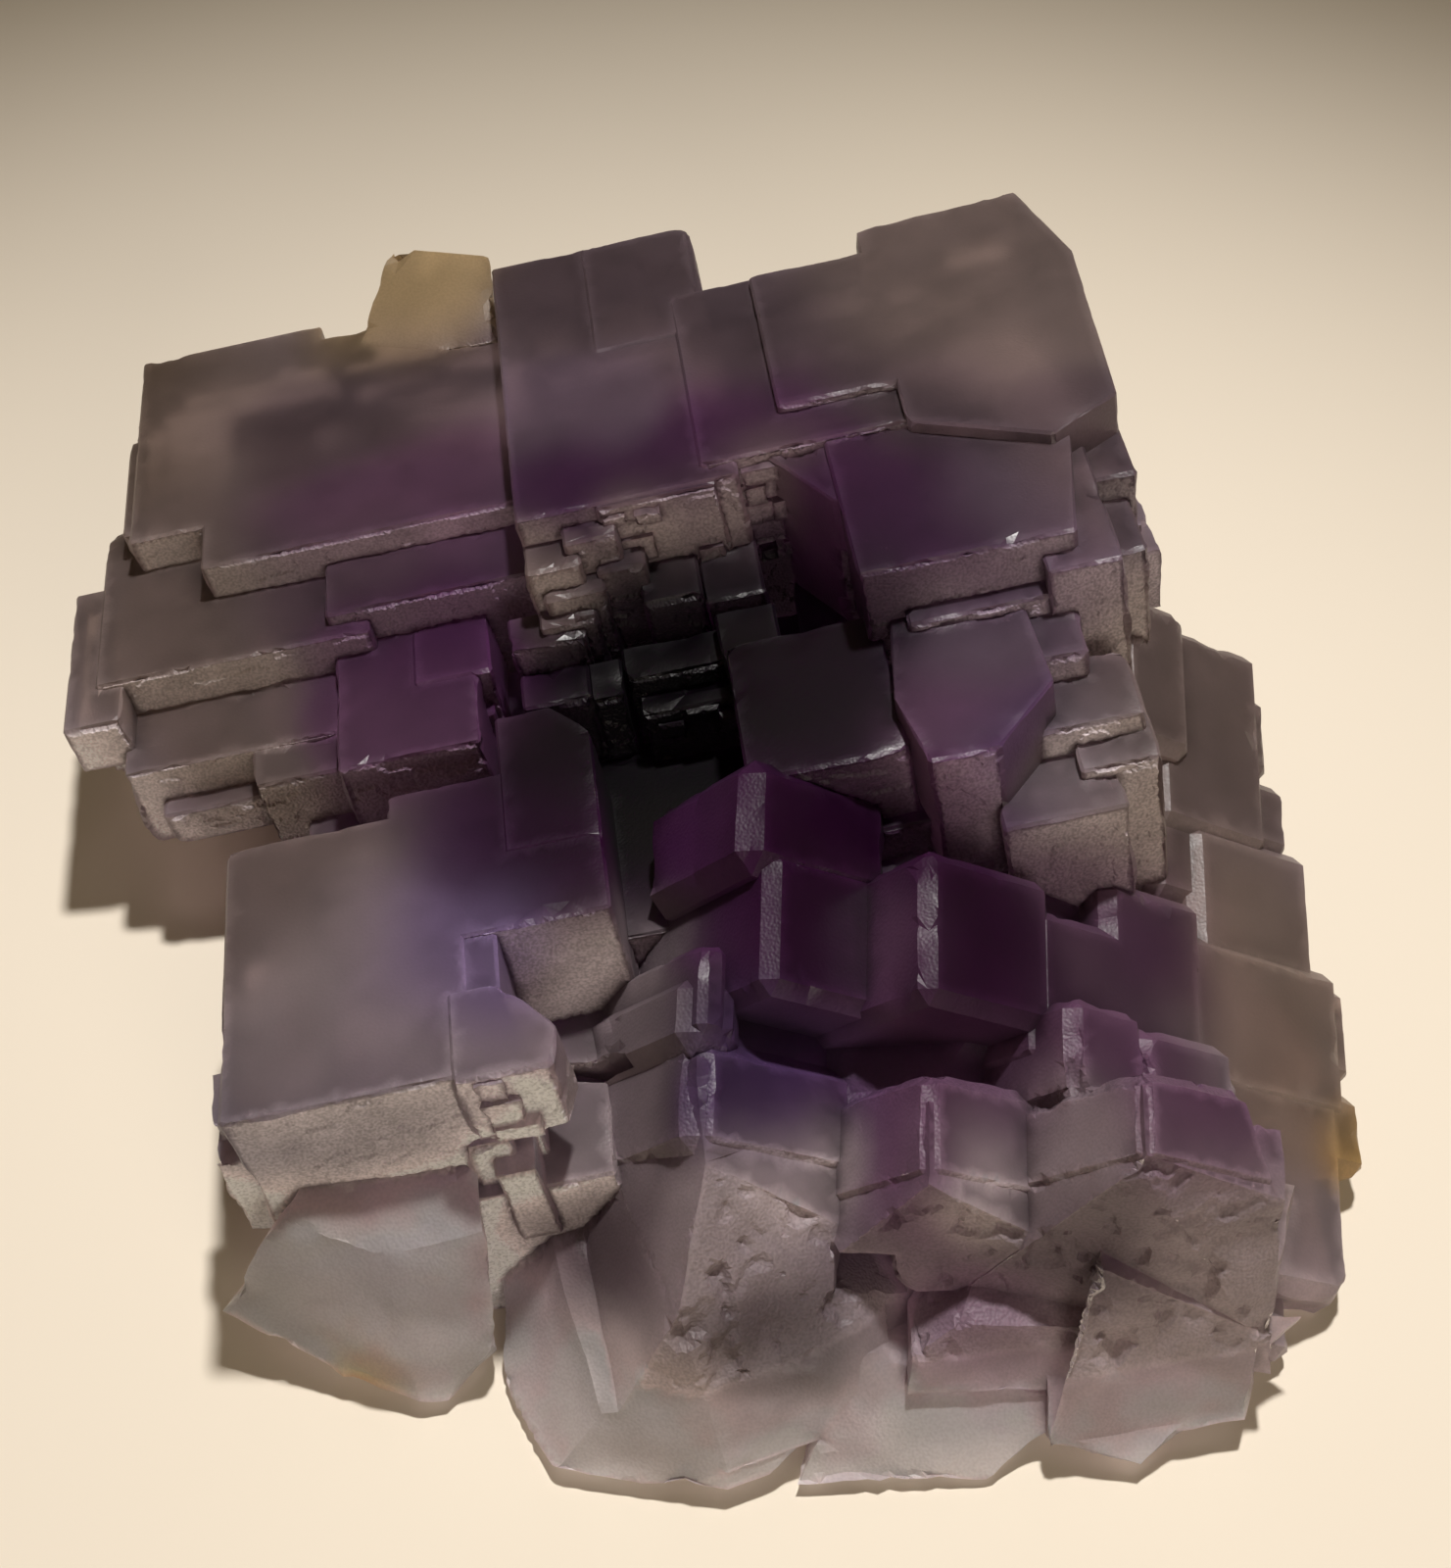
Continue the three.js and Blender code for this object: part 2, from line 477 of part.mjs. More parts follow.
/** The whole cluster in one solid, cut flat where it rests on the table. */
function growCluster() {
  const terraceTurn = familyTurn(TERRACE_TURN);
  const ridgeTurn = familyTurn(RIDGE_TURN);
  const random = makeRandom(GROWTH_SEED);
  const solids = [
    ...growFamily(TERRACE_CUBES, terraceTurn, TERRACE_BEVEL),
    ...growFamily(RIDGE_CUBES, ridgeTurn, RIDGE_BEVEL),
    ...oddSolids(ODD_BLOCKS),
    ...ROUGH_RISERS.flatMap((riser) => growPlates(riser, terraceTurn, random)),
    ...WALLS.flatMap((wall) => growWall(wall, terraceTurn, random)),
  ];
  const table = new THREE.BoxGeometry(TABLE_SIZE, TABLE_SIZE, TABLE_SIZE).translate(0, 0, -TABLE_SIZE / 2);
  const hollows = [
    ...oddSolids(ODD_HOLLOWS),
    ...TERRACE_PITS.map((pit) => boxSolid(pit, terraceTurn)),
    ...RIDGE_PITS.map((pit) => boxSolid(pit, ridgeTurn)),
    toSolid(table),
  ];
  const grown = solids.reduce((whole, solid) => whole.add(solid));
  return fillSealedGaps(hollows.reduce((whole, hollow) => whole.subtract(hollow), grown));
}

/** A solid's surface as a geometry centred over the middle of its footprint. */
function toGeometry(solid) {
  const { vertProperties, triVerts } = solid.getMesh();
  const geometry = new THREE.BufferGeometry();
  geometry.setAttribute("position", new THREE.BufferAttribute(vertProperties, 3));
  geometry.setIndex(new THREE.BufferAttribute(triVerts, 1));
  geometry.computeBoundingBox();
  const { min, max } = geometry.boundingBox;
  geometry.translate(-(min.x + max.x) / 2, -(min.y + max.y) / 2, -min.z);
  return geometry;
}

const crystal = new THREE.MeshStandardMaterial(CRYSTAL);
const cluster = new THREE.Mesh(toGeometry(growCluster()), crystal);
cluster.name = "fluorite_cluster";

const specimen = new THREE.Group();
specimen.add(cluster);

export default specimen;
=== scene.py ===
# %% [markdown]
# # A cluster of purple fluorite
# The specimen is a hand-sized lump of fluorite cubes that grew through each other. The solid frame already
# holds every cube, step and ridge. This lesson turns that hard-edged solid into the crystal that lies in
# the hand: chipped edges, rough risers, pitted noses, clear rims, and colour that runs from ink-purple in
# the middle to pale grey outside. All lengths are in millimetres until a mesh is written in metres.

import bmesh
import bpy
import numpy as np
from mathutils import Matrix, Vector


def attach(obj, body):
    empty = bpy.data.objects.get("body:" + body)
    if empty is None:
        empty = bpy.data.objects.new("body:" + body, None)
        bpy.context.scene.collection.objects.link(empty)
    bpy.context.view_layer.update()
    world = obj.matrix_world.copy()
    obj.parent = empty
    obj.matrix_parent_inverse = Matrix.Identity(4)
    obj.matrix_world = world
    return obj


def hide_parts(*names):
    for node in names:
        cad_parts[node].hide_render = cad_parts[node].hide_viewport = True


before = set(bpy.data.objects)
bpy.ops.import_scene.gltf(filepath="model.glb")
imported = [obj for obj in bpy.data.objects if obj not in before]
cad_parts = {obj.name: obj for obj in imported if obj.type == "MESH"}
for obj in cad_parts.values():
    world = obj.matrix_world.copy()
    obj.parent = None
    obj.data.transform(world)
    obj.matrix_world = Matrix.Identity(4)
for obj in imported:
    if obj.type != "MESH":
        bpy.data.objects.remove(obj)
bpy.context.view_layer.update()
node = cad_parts["fluorite_cluster"]

# %% [markdown]
# ## Camera
# A photograph of a specimen is mostly taken by leaning over the table. The view is described by the point
# it looks at, its height above the horizon and its distance, because those are easy to judge. The
# lens follows from the ratio of focal length to picture height.

# %% Camera
MM = 0.001
LOOK_AT = np.array([2.48, -1.32, 15.0])  # mm, near the middle of the cluster
VIEW_ELEVATION = np.radians(52.0)
VIEW_DISTANCE = 163.0  # mm
FOCAL_PER_HEIGHT = 1.5
SENSOR_HEIGHT = 24.0
NEAREST_SEEN = 0.005  # m

camera_data = bpy.data.cameras.new("camera")
camera_data.sensor_fit = "VERTICAL"
camera_data.sensor_height = SENSOR_HEIGHT
camera_data.lens = FOCAL_PER_HEIGHT * SENSOR_HEIGHT
camera_data.clip_start = NEAREST_SEEN
camera = bpy.data.objects.new("camera", camera_data)
towards_viewer = np.array([0.0, -np.cos(VIEW_ELEVATION), np.sin(VIEW_ELEVATION)])
camera.location = (LOOK_AT + VIEW_DISTANCE * towards_viewer) * MM
camera.rotation_euler = Vector(-towards_viewer).to_track_quat("-Z", "Y").to_euler()
bpy.context.scene.collection.objects.link(camera)
bpy.context.scene.camera = camera
print("camera stands at", [round(v, 3) for v in camera.location], "m")

# %% [markdown]
# ## Floor and light
# The specimen lies on a plain cream table under one lamp that hangs above it, a little behind and to the
# right, so its shadow shows in front and on the left. The lamp's cone is aimed at the near side, so the
# table falls darker towards the back. A weak fill from the front right shows the risers, and a dim, even
# sky keeps the shadows open. Spot lamps were chosen because their fading cones give that falling light.

# %% Floor and lamps
FLOOR_HALF = 0.9
FLOOR_DROP = -0.00005  # the resting face stays clear of the floor by a hair
FLOOR_COLOUR, FLOOR_ROUGHNESS = (0.80, 0.72, 0.60), 0.8
FLOOR_CORNERS = ((-1, -1), (1, -1), (1, 1), (-1, 1))


def make_floor():
    """A flat square at table height, matt and cream."""
    mesh = bpy.data.meshes.new("floor")
    corners = [(x * FLOOR_HALF, y * FLOOR_HALF, FLOOR_DROP) for x, y in FLOOR_CORNERS]
    mesh.from_pydata(corners, [], [(0, 1, 2, 3)])
    floor = bpy.data.objects.new("floor", mesh)
    bpy.context.scene.collection.objects.link(floor)
    finish = bpy.data.materials.new("matt_board")
    finish.use_nodes = True
    board = finish.node_tree.nodes["Principled BSDF"]
    board.inputs["Base Color"].default_value = (*FLOOR_COLOUR, 1.0)
    board.inputs["Roughness"].default_value = FLOOR_ROUGHNESS
    mesh.materials.append(finish)


def add_lamp(name, place, aim, watts, cone, softness, colour):
    """A round lamp at a place in millimetres, aimed at another. Its cone, in degrees, fades from its middle
    outwards, and its softness is the radius of its disc in millimetres."""
    data = bpy.data.lights.new(name, "SPOT")
    data.energy = watts
    data.spot_size = np.radians(cone)
    data.spot_blend = 1.0
    data.shadow_soft_size = softness * MM
    data.color = colour
    lamp = bpy.data.objects.new(name, data)
    lamp.location = np.array(place) * MM
    line = Vector(np.array(aim) - np.array(place))
    lamp.rotation_euler = line.to_track_quat("-Z", "Y").to_euler()
    bpy.context.scene.collection.objects.link(lamp)


def set_sky(colour, strength):
    """An even glow from all around."""
    world = bpy.data.worlds.new("sky")
    world.use_nodes = True
    glow = world.node_tree.nodes["Background"]
    glow.inputs["Color"].default_value = (*colour, 1.0)
    glow.inputs["Strength"].default_value = strength
    bpy.context.scene.world = world


make_floor()
add_lamp("lamp", place=(40, 95, 465), aim=(0, -50, 0), watts=9.4, cone=50, softness=16,
         colour=(1.0, 0.97, 0.94))
add_lamp("fill", place=(140, -420, 170), aim=(0, 0, 10), watts=2.7, cone=60, softness=120,
         colour=(1.0, 0.90, 0.76))
set_sky(colour=(1.0, 0.72, 0.36), strength=0.08)
bpy.context.scene.view_settings.view_transform = "Standard"
print("lamps:", [light.name for light in bpy.data.lights])

# %% [markdown]
# ## The skin of the cluster
# A natural crystal face is flat, yet its edges are worn and its steep faces are rough. Sculpting such wear
# needs many small faces of even size. The solid's own triangles are long slivers, so the skin is made
# anew. First the solid's flat areas are joined and cut into triangles again.

# %% Read the solid
MERGE_MM = 1e-4  # points closer than this are one
SLIVER_M = 3e-5  # thinner triangles are taken out
FLAT_ANGLE = np.radians(0.4)  # faces that meet at less lie in one flat area


def read_mesh(mesh):
    """Points in millimetres and triangles of a mesh, with points at one place merged."""
    mesh.calc_loop_triangles()
    points = np.zeros(len(mesh.vertices) * 3)
    mesh.vertices.foreach_get("co", points)
    triangles = np.zeros(len(mesh.loop_triangles) * 3, np.int32)
    mesh.loop_triangles.foreach_get("vertices", triangles)
    points = points.reshape(-1, 3) / MM
    places = np.round(points / MERGE_MM).astype(np.int64)
    _, first, merged = np.unique(places, axis=0, return_index=True, return_inverse=True)
    return points[first], merged.reshape(-1)[triangles].reshape(-1, 3)


def write_mesh(name, points, triangles):
    """A new mesh from points in millimetres and triangles."""
    mesh = bpy.data.meshes.new(name)
    mesh.from_pydata((points * MM).tolist(), [], triangles.tolist())
    return mesh


def reworked(points, triangles, work_on):
    """The surface after some work on it as an editable mesh."""
    mesh = write_mesh("reworked", points, triangles)
    work = bmesh.new()
    work.from_mesh(mesh)
    work_on(work)
    work.to_mesh(mesh)
    work.free()
    result = read_mesh(mesh)
    bpy.data.meshes.remove(mesh)
    return result


def join_flat_areas(work):
    """Takes out slivers and cuts each flat area into fairly even triangles."""
    bmesh.ops.dissolve_degenerate(work, dist=SLIVER_M, edges=work.edges)
    bmesh.ops.dissolve_limit(work, angle_limit=FLAT_ANGLE, verts=work.verts, edges=work.edges)
    bmesh.ops.triangulate(work, faces=work.faces, quad_method="BEAUTY", ngon_method="BEAUTY")


points, triangles = reworked(*read_mesh(node.data), join_flat_areas)
print("solid:", len(points), "points,", len(triangles), "triangles")

# %% [markdown]
# ## Which faces are rough
# The cubes grew in two directions. The first family lies almost flat: its tops are smooth and its front
# risers are rough and sparkle. The second family stands on edge: one side is smooth, the other is frosted.
# In front, the broken noses are pitted and the low rims below them are worn and clear. Painting these
# kinds by hand would take long, so each face's kind follows from where it faces and where it lies.

# %% Kinds of faces
TERRACE_TURN = {"yaw": 7, "pitch": -5.5, "roll": -9}  # degrees, as in the solid
RIDGE_TURN = {"yaw": -2, "pitch": 14.5, "roll": 34}
SMOOTH, FROSTED, WORN, PITTED, ROUGH = KINDS = (0.0, 0.4, 0.6, 0.8, 1.0)
KIND_NAMES = ("smooth", "frosted", "worn", "pitted", "rough")
NOSE_BACK, NOSE_LOW, NOSE_LEFT = -26.0, 8.0, -7.0  # the pitted noses lie in front, above and right, mm
RISER_FRONT = -34.0  # no riser lies in front of this, mm
TOP_WITHIN, RIDGE_TOP_WITHIN, RIDGE_SIDE_WITHIN, RISER_WITHIN = 14, 10, 14, 16  # degrees off each direction
FACES_DOWN = -0.5  # upward part of a normal that belongs to the underside
TINY = 1e-12  # keeps zero out of divisions


def family_axes(turn):
    """The three axes of a crystal family as rows: across, deep and high; rolled, pitched, then yawed."""
    yaw, pitch, roll = (np.radians(turn[name]) for name in ("yaw", "pitch", "roll"))
    about_z = [[np.cos(yaw), -np.sin(yaw), 0], [np.sin(yaw), np.cos(yaw), 0], [0, 0, 1]]
    about_x = [[1, 0, 0], [0, np.cos(pitch), -np.sin(pitch)], [0, np.sin(pitch), np.cos(pitch)]]
    about_y = [[np.cos(roll), 0, np.sin(roll)], [0, 1, 0], [-np.sin(roll), 0, np.cos(roll)]]
    return (np.array(about_z) @ np.array(about_x) @ np.array(about_y)).T


TERRACE = family_axes(TERRACE_TURN)
RIDGE = family_axes(RIDGE_TURN)


def facing(normals, direction, within):
    """Whether normals point within some degrees of a direction."""
    return normals @ direction > np.cos(np.radians(within))


def face_kinds(normals, middles):
    """How rough each face is, from 0 to 1: frosted, but worn or pitted in front, unless its direction makes
    it a smooth top or underside, a frosted ridge side or a rough riser."""
    kind = np.full(len(normals), FROSTED)
    x, y, z = middles.T
    kind[y < NOSE_BACK] = WORN
    kind[(y < NOSE_BACK) & (z > NOSE_LOW) & (x > NOSE_LEFT)] = PITTED
    kind[facing(normals, -RIDGE[0], RIDGE_SIDE_WITHIN)] = FROSTED
    kind[facing(normals, TERRACE[2], TOP_WITHIN) | facing(normals, RIDGE[2], RIDGE_TOP_WITHIN)] = SMOOTH
    kind[facing(normals, -TERRACE[1], RISER_WITHIN) & (y > RISER_FRONT)] = ROUGH
    kind[normals[:, 2] < FACES_DOWN] = SMOOTH
    return kind


def face_normals(points, triangles):
    """Unit normal and area of each triangle: half the cross product of two sides."""
    a, b, c = (points[triangles[:, i]] for i in range(3))
    cross = np.cross(b - a, c - a)
    doubled = np.linalg.norm(cross, axis=1)
    return cross / np.maximum(doubled, TINY)[:, None], doubled / 2


normals, areas = face_normals(points, triangles)
kinds = face_kinds(normals, points[triangles].mean(1))
for name, kind in zip(KIND_NAMES, KINDS):
    print(name, "area:", round(areas[kinds == kind].sum() / 100, 1), "cm2")

# %% [markdown]
# ## Short edges
# Every long edge is halved until none is left. How long an edge may be follows from the faces beside it:
# rough faces and folds get short edges, smooth faces long ones, so the triangles go where the detail is.
# A subdivision of all faces alike would need several times as many.

# %% Halve the long edges
SMOOTH_EDGE, WORN_EDGE, ROUGH_EDGE = 1.8, 0.8, 0.52  # longest edges of the skin by kind of face, mm
CREASE_EDGE, BASE_EDGE = 0.75, 5.0  # and along folds and under the cluster
CREASE = np.cos(np.radians(8.0))  # half the length of two normals' sum where their faces fold by 16 degrees
BOTH_DOWN = -1.99  # upward part of two normals' sum where both faces lie on the floor


def edge_table(triangles):
    """The two ends of every edge, and for each triangle the rows of its three edges."""
    sides = np.sort(triangles[:, [[0, 1], [1, 2], [2, 0]]], axis=2).astype(np.int64)
    base = triangles.max() + 1
    unique, rows = np.unique((sides[..., 0] * base + sides[..., 1]).ravel(), return_inverse=True)
    return np.stack([unique // base, unique % base], axis=1), rows.reshape(-1, 3)


def edge_limits(points, triangles, rows, count):
    """Longest allowed length of each edge, by the roughest face beside it and how far its faces fold."""
    normals, _ = face_normals(points, triangles)
    roughest = np.zeros(count)
    np.maximum.at(roughest, rows.ravel(), np.repeat(face_kinds(normals, points[triangles].mean(1)), 3))
    sums = np.stack([np.bincount(rows.ravel(), np.repeat(part, 3), count) for part in normals.T], 1)
    folded = np.linalg.norm(sums, axis=1) / 2 < CREASE
    limit = np.where(folded, CREASE_EDGE, SMOOTH_EDGE)
    limit[roughest >= WORN] = np.minimum(limit[roughest >= WORN], WORN_EDGE)
    limit[roughest >= PITTED] = ROUGH_EDGE
    return np.where(sums[:, 2] < BOTH_DOWN, BASE_EDGE, limit)


def turned(triangles, middles, first):
    """Triangles and their edge middles, turned round so that a given side comes first."""
    order = (first[:, None] + np.arange(3)) % 3
    return np.take_along_axis(triangles, order, 1), np.take_along_axis(middles, order, 1)


def cut_twice(points, t, m):
    """Triangles with middles on their first two sides, each cut into three along its shorter diagonal."""
    one = np.linalg.norm(points[t[:, 0]] - points[m[:, 1]], axis=1)
    other = np.linalg.norm(points[m[:, 0]] - points[t[:, 2]], axis=1)
    first = (one < other)[:, None]
    near = np.where(first, np.c_[t[:, 0], m[:, 0], m[:, 1]], np.c_[t[:, 0], m[:, 0], t[:, 2]])
    far = np.where(first, np.c_[t[:, 0], m[:, 1], t[:, 2]], np.c_[m[:, 0], m[:, 1], t[:, 2]])
    return [np.c_[m[:, 0], t[:, 1], m[:, 1]], near, far]


def halve_edges(points, triangles):
    """One pass: a point goes in the middle of each edge that is too long, and each triangle with one, two
    or three such points is cut into two, three or four."""
    ends, rows = edge_table(triangles)
    a, b = points[ends[:, 0]], points[ends[:, 1]]
    long = np.linalg.norm(a - b, axis=1) > edge_limits(points, triangles, rows, len(ends))
    middles = np.where(long, len(points) + np.cumsum(long) - 1, -1)[rows]
    points = np.vstack([points, ((a + b) / 2)[long]])
    cut = middles >= 0
    count = cut.sum(1)
    pieces = [triangles[count == 0]]
    t, m = turned(triangles[count == 1], middles[count == 1], cut[count == 1].argmax(1))
    pieces += [np.c_[t[:, 0], m[:, 0], t[:, 2]], np.c_[m[:, 0], t[:, 1], t[:, 2]]]
    t, m = turned(triangles[count == 2], middles[count == 2], ((~cut[count == 2]).argmax(1) + 1) % 3)
    pieces += cut_twice(points, t, m)
    t, m = triangles[count == 3], middles[count == 3]
    pieces += [np.c_[t[:, 0], m[:, 0], m[:, 2]], np.c_[m[:, 0], t[:, 1], m[:, 1]]]
    pieces += [np.c_[m[:, 2], m[:, 1], t[:, 2]], m]
    return points, np.vstack(pieces), int(long.sum())


still_long = 1
while still_long:
    points, triangles, still_long = halve_edges(points, triangles)
print("skin:", len(points), "points,", len(triangles), "triangles")

# %% [markdown]
# ## Even triangles
# Halving leaves thin triangles. Two steps cure that without changing the shape: edges inside flat areas
# are flipped where that makes better triangles, and points inside flat areas move to the middle of their
# neighbours, which keeps them in the plane.

# %% Even out the skin
FLAT_POINT = 0.9999  # length of the mean normal at a point whose faces all lie in one plane
EVEN_ROUNDS, RELAX_PASSES = 2, 5


def sum_at_points(triangles, values, count):
    """For each point, the sum of a value over the triangles around it."""
    columns = values.reshape(len(triangles), -1).T
    sums = [np.bincount(triangles.ravel(), np.repeat(column, 3), count) for column in columns]
    return np.stack(sums, 1).reshape((count,) + values.shape[1:])


def point_normals(points, triangles):
    """Mean normal at each point, weighted by area, and its length: 1 where all faces around lie flat."""
    normals, areas = face_normals(points, triangles)
    total = sum_at_points(triangles, normals * areas[:, None], len(points))
    mean = total / np.maximum(sum_at_points(triangles, areas, len(points)), TINY)[:, None]
    length = np.linalg.norm(mean, axis=1)
    return mean / np.maximum(length, TINY)[:, None], length


def neighbour_means(values, ends):
    """For each point, the mean of a value over the points that an edge joins to it."""
    count = len(values)
    here, there = np.r_[ends[:, 0], ends[:, 1]], np.r_[ends[:, 1], ends[:, 0]]
    degree = np.maximum(np.bincount(here, minlength=count), 1)
    columns = values.reshape(count, -1).T
    sums = np.stack([np.bincount(here, column[there], count) / degree for column in columns], 1)
    return sums.reshape(values.shape)


def flip_flat_edges(work):
    """Turns edges inside flat areas where that gives rounder triangles."""
    flat = [edge for edge in work.edges if edge.calc_face_angle(1.0) < FLAT_ANGLE]
    bmesh.ops.beautify_fill(work, faces=work.faces, edges=flat, method="ANGLE")


for _ in range(EVEN_ROUNDS):
    points, triangles = reworked(points, triangles, flip_flat_edges)
    flat = point_normals(points, triangles)[1] > FLAT_POINT
    ends, rows = edge_table(triangles)
    for _ in range(RELAX_PASSES):
        points = np.where(flat[:, None], neighbour_means(points, ends), points)
print("evened skin:", len(points), "points,", len(triangles), "triangles")

# %% [markdown]
# ## Relief
# Four things shape the surface below a millimetre. Edges are worn and chipped, and the low rims broken.
# The rough risers are a mosaic of tiny plates that stand a tenth of a millimetre in or out. The noses and
# rims swell gently, and the noses are eaten by pits. Each is a height along the point's normal, made from
# repeatable noise: random numbers tied to the corners of a lattice and blended between them. The mosaic
# rounds that noise to whole steps. Real geometry was chosen over a bump, so that outlines are rough too.

# %% Noise
def cell_noise(cells, seed):
    """One number from −1 to 1 for each corner of a lattice: a scramble of its three whole numbers."""
    code = cells.astype(np.int64).astype(np.uint32)
    mixed = code[:, 0] * np.uint32(73856093) ^ code[:, 1] * np.uint32(19349663)
    mixed ^= code[:, 2] * np.uint32(83492791) ^ np.uint32(seed * 2246822519 % 2**32)
    for shift, factor in ((15, 739982445), (12, 695872825), (15, 1)):
        mixed = (mixed ^ (mixed >> np.uint32(shift))) * np.uint32(factor)
    return mixed / 2**31 - 1.0


def soft_noise(places, size, seed):
    """Cell noise blended between the eight corners around each place, by 3t² − 2t³ along each axis."""
    scaled = places / size
    low = np.floor(scaled)
    t = scaled - low
    t = t * t * (3 - 2 * t)
    total = np.zeros(len(places))
    for corner in np.ndindex(2, 2, 2):
        share = np.prod(np.where(corner, t, 1 - t), axis=1)
        total += share * cell_noise(low + corner, seed)
    return total


print("noise at three points:", soft_noise(points[:3], 2.0, 1).round(2))

# %% Worn edges, risers and pits
EDGE_HEIGHT = 0.12  # an edge that stands this far over its neighbours is a full edge, mm
EDGE_PASSES = 2  # times that height is evened out between neighbours
KIND_PASSES = 3  # the same for roughness, so that pits fade out towards smooth faces
WEAR_SHARE = 0.1  # part of that height which is worn away
GROUND = 0.05  # points below this stay on the floor, mm
CHIP_SIZES, CHIP_DEPTH, CHIP_SPARSE = (2.6, 1.3), 0.4, 0.25  # a chip is this part of its size deep
PIT_SIZES, PIT_DEPTH, PIT_SPARSE = (2.4, 1.2), 0.6, 0.36  # and so is a pit
RAGGED_SIZE, RAGGED = 1.0, 0.7  # pits' outlines wander by this, mm
RISER_PLATE, RISER_STEP, RISER_LEVELS = (2.4, 2.4, 1.3), 0.15, 1.6  # small plates in steps, mm
SWELL_SIZES, SWELL = (5.0, 2.4, 1.1), 0.07  # each swell is this part of its size high
RIM_TOP, RIM_SIZE, RIM_SWELL = 8.0, 2.6, 0.7  # the low rims are broken off roughly, mm
PLATE_SEED, PIT_SEED, SWELL_SEED, CHIP_SEED, RIM_SEED, RAGGED_SEEDS = 3, 5, 7, 11, 15, (31, 32, 33)


def stand_out(points, triangles, ends):
    """How far each point stands over the mean of its neighbours along its normal, and the normals."""
    normals, _ = point_normals(points, triangles)
    return ((points - neighbour_means(points, ends)) * normals).sum(1), normals


def mean_at_points(triangles, values, count):
    """For each point, the plain mean of a value over the triangles around it."""
    around = np.maximum(sum_at_points(triangles, np.ones(len(triangles)), count), 1)
    return sum_at_points(triangles, values, count) / around


def wandering(points, size, seeds):
    """Soft noise of one size in each of three directions."""
    return np.stack([soft_noise(points, size, seed) for seed in seeds], 1)


def share_between(kind, low, high):
    """How far a roughness lies from one kind to the next: 0 up to the low one, 1 from the high one on."""
    return np.clip((kind - low) / (high - low), 0, 1)


def hollows(points, sizes, depth, sparse, seed):
    """Depth of scattered hollows: noise above a level, times part of the hollow's size, over some sizes."""
    return sum(depth * size * np.maximum(0, soft_noise(points, size, seed) - sparse) for size in sizes)


def relief(points, kind, soft_kind, edge):
    """Height along the normal at each point, in millimetres, from how rough the face and how sharp the
    edge is: stepped plates on risers, swells and pits on noses, chips out of edges, and broken low rims."""
    riser = share_between(kind, PITTED, ROUGH)
    worn = share_between(soft_kind, FROSTED, WORN) * (1 - riser)
    pitted = share_between(soft_kind, WORN, PITTED) * (1 - riser)
    low = np.clip(1 - points[:, 2] / RIM_TOP, 0, 1)
    ragged = points + RAGGED * wandering(points, RAGGED_SIZE, RAGGED_SEEDS)
    pits = hollows(ragged, PIT_SIZES, PIT_DEPTH, PIT_SPARSE, PIT_SEED)
    swells = sum(SWELL * size * soft_noise(points, size, SWELL_SEED) for size in SWELL_SIZES)
    chips = edge * hollows(points, CHIP_SIZES, CHIP_DEPTH, CHIP_SPARSE, CHIP_SEED)
    broken = RIM_SWELL * soft_noise(points, RIM_SIZE, RIM_SEED) * edge * low
    levels = RISER_LEVELS * soft_noise(points @ TERRACE.T, np.array(RISER_PLATE), PLATE_SEED)
    return riser * RISER_STEP * np.round(levels) + worn * swells - pitted * pits - chips + broken


print("plates of", RISER_STEP, "mm, pits up to", PIT_DEPTH * max(PIT_SIZES), "mm deep")

# %% Shape the skin
ends, rows = edge_table(triangles)
face_kind = face_kinds(face_normals(points, triangles)[0], points[triangles].mean(1))
kind = mean_at_points(triangles, face_kind, len(points))
height, normals = stand_out(points, triangles, ends)
for _ in range(EDGE_PASSES):
    height = (height + neighbour_means(height, ends)) / 2
edge = np.clip(height / EDGE_HEIGHT, 0, 1)
# How deep each point lies in a hollow; it is used only to darken the colour, as painted shade in creases
# and recesses.
hollow_shade = np.clip(-height / EDGE_HEIGHT, 0, 1)
soft_kind = kind
for _ in range(KIND_PASSES):
    soft_kind = neighbour_means(soft_kind, ends)
lift = relief(points, kind, soft_kind, edge) - WEAR_SHARE * np.maximum(height, 0)
lift[points[:, 2] < GROUND] = 0
points = points + normals * lift[:, None]
points[:, 2] = np.maximum(points[:, 2], 0)
print("relief from", round(lift.min(), 2), "to", round(lift.max(), 2), "mm")
